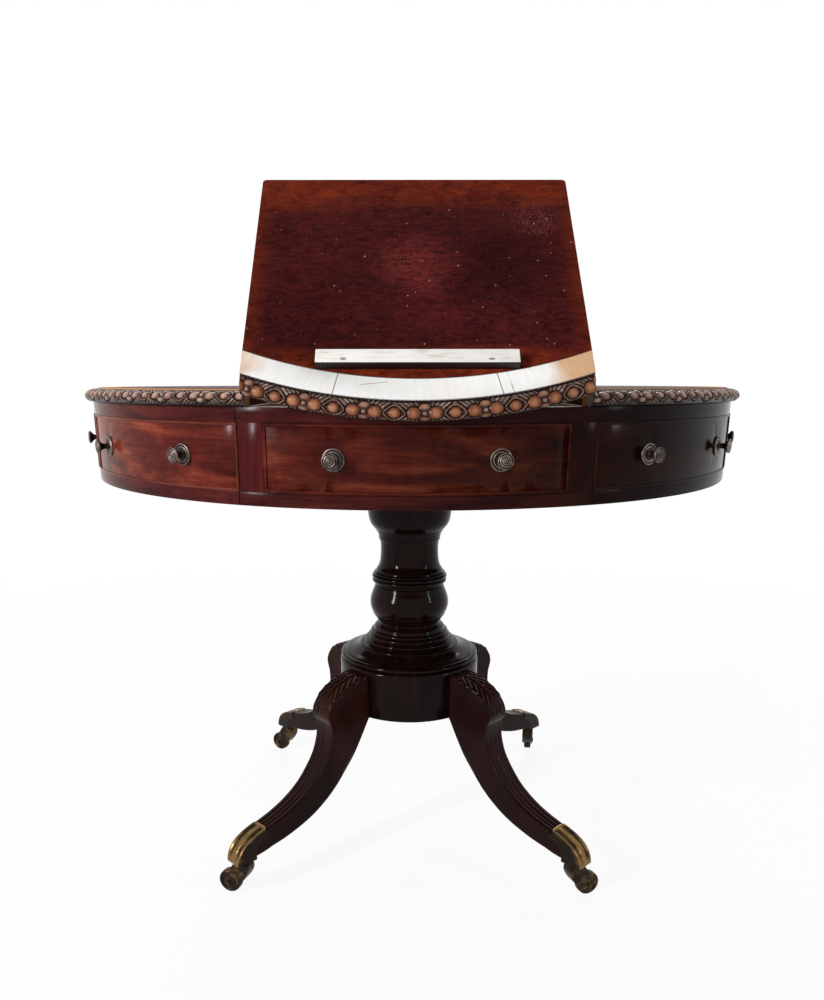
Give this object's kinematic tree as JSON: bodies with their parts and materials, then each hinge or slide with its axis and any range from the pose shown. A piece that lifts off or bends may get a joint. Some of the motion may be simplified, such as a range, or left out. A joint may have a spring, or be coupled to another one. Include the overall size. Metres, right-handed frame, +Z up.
{
  "type": "drum table",
  "caption": "Round revolving drum table with drawers, a lifting reading slope on a ratchet strut, a turned column and sabre legs on casters.",
  "frame": {"origin": "on the floor, on the axis of the column and of the drum", "axes": "+Z up, -Y to the front where the reading slope is, +X to the right of someone who faces the front"},
  "size_m": [0.9802, 0.9827, 1.0077],
  "materials": {
    "top_mahogany": "polished red-brown mahogany",
    "frieze_mahogany": "polished figured mahogany veneer",
    "dark_mahogany": "polished dark mahogany",
    "plain_wood": "bare drawer wood",
    "brass": "aged brass",
    "knob_metal": "darkened brass",
    "iron": "black iron",
    "steel": "worn steel"
  },
  "bodies": {
    "base": {"hub": "dark_mahogany", "column": "dark_mahogany", "spindle": "steel", "spindle_nut": "steel", "thrust_washer": "brass", "hub_strap": "iron", "strap_screws": "iron", "front_left_leg": "dark_mahogany", "front_right_leg": "dark_mahogany", "rear_left_leg": "dark_mahogany", "rear_right_leg": "dark_mahogany", "front_left_toe_cap": "brass", "front_right_toe_cap": "brass", "rear_left_toe_cap": "brass", "rear_right_toe_cap": "brass"},
    "drum": {"bearing_block": "plain_wood", "bottom_board": "plain_wood", "lower_rail": "frieze_mahogany", "frieze_stiles": "frieze_mahogany", "upper_rail": "frieze_mahogany", "fixed_fronts": "frieze_mahogany", "fixed_front_beads": "frieze_mahogany", "fixed_front_knobs": "knob_metal", "drawer_partitions": "plain_wood", "drawer_runners": "plain_wood", "dust_board": "plain_wood", "top_bearers": "plain_wood", "table_top": "top_mahogany", "carved_rim": "top_mahogany", "slope_hinge_plates": "brass", "slope_hinge_pins": "brass", "strut_racks": "plain_wood"},
    "slope": {"slope_board": "top_mahogany", "slope_lip": "top_mahogany", "slope_hinge_leaves": "brass", "strut_brackets": "brass"},
    "strut": {"slope_strut": "plain_wood"},
    "book_rest": {"book_rest": "top_mahogany", "book_rest_pegs": "top_mahogany"},
    "front_drawer": {"front_drawer_face": "frieze_mahogany", "front_drawer_box": "plain_wood", "front_drawer_knobs": "knob_metal"},
    "right_drawer": {"right_drawer_face": "frieze_mahogany", "right_drawer_box": "plain_wood", "right_drawer_knobs": "knob_metal"},
    "back_drawer": {"back_drawer_face": "frieze_mahogany", "back_drawer_box": "plain_wood", "back_drawer_knobs": "knob_metal"},
    "left_drawer": {"left_drawer_face": "frieze_mahogany", "left_drawer_box": "plain_wood", "left_drawer_knobs": "knob_metal"},
    "front_left_caster": {"front_left_fork": "brass"},
    "front_left_roller": {"front_left_wheel": "brass"},
    "front_right_caster": {"front_right_fork": "brass"},
    "front_right_roller": {"front_right_wheel": "brass"},
    "rear_left_caster": {"rear_left_fork": "brass"},
    "rear_left_roller": {"rear_left_wheel": "brass"},
    "rear_right_caster": {"rear_right_fork": "brass"},
    "rear_right_roller": {"rear_right_wheel": "brass"}
  },
  "joints": [
    {"name": "drum_turn", "type": "hinge", "parent": "base", "child": "drum", "pos_m": [0, 0, 0.6027], "axis": [0, 0, 1], "continuous": true},
    {"name": "slope_tilt", "type": "hinge", "parent": "drum", "child": "slope", "pos_m": [0, -0.467, 0.7385], "axis": [1, 0, 0], "range_deg": [-45.2, 2]},
    {"name": "strut_fold", "type": "hinge", "parent": "slope", "child": "strut", "pos_m": [0, -0.34369, 0.86267], "axis": [1, 0, 0], "range_deg": [-6, 92]},
    {"name": "book_rest_rise", "type": "slide", "parent": "slope", "child": "book_rest", "axis": [0, -0.7096, 0.7046], "range_m": [-0.01, 0]},
    {"name": "front_drawer_slide", "type": "slide", "parent": "drum", "child": "front_drawer", "axis": [0, -1, 0], "range_m": [0, 0.22]},
    {"name": "right_drawer_slide", "type": "slide", "parent": "drum", "child": "right_drawer", "axis": [1, 0, 0], "range_m": [0, 0.22]},
    {"name": "back_drawer_slide", "type": "slide", "parent": "drum", "child": "back_drawer", "axis": [0, 1, 0], "range_m": [0, 0.22]},
    {"name": "left_drawer_slide", "type": "slide", "parent": "drum", "child": "left_drawer", "axis": [-1, 0, 0], "range_m": [0, 0.22]},
    {"name": "front_left_swivel", "type": "hinge", "parent": "base", "child": "front_left_caster", "pos_m": [-0.25952, -0.25237, 0.0597], "axis": [0, 0, 1], "continuous": true},
    {"name": "front_left_roll", "type": "hinge", "parent": "front_left_caster", "child": "front_left_roller", "pos_m": [-0.28177, -0.24338, 0.0185], "axis": [-0.3746, -0.9272, 0], "continuous": true},
    {"name": "front_right_swivel", "type": "hinge", "parent": "base", "child": "front_right_caster", "pos_m": [0.25237, -0.25952, 0.0597], "axis": [0, 0, 1], "continuous": true},
    {"name": "front_right_roll", "type": "hinge", "parent": "front_right_caster", "child": "front_right_roller", "pos_m": [0.27463, -0.25053, 0.0185], "axis": [-0.3746, 0.9272, 0], "continuous": true},
    {"name": "rear_left_swivel", "type": "hinge", "parent": "base", "child": "rear_left_caster", "pos_m": [-0.25237, 0.25952, 0.0597], "axis": [0, 0, 1], "continuous": true},
    {"name": "rear_left_roll", "type": "hinge", "parent": "rear_left_caster", "child": "rear_left_roller", "pos_m": [-0.27273, 0.27224, 0.0185], "axis": [-0.5299, -0.848, 0], "continuous": true},
    {"name": "rear_right_swivel", "type": "hinge", "parent": "base", "child": "rear_right_caster", "pos_m": [0.25952, 0.25237, 0.0597], "axis": [0, 0, 1], "continuous": true},
    {"name": "rear_right_roll", "type": "hinge", "parent": "rear_right_caster", "child": "rear_right_roller", "pos_m": [0.26451, 0.27585, 0.0185], "axis": [-0.9781, 0.2079, 0], "continuous": true}
  ],
  "couplings": [
    {"joint": "strut_fold", "follows": "slope_tilt", "ratio": -2}
  ]
}
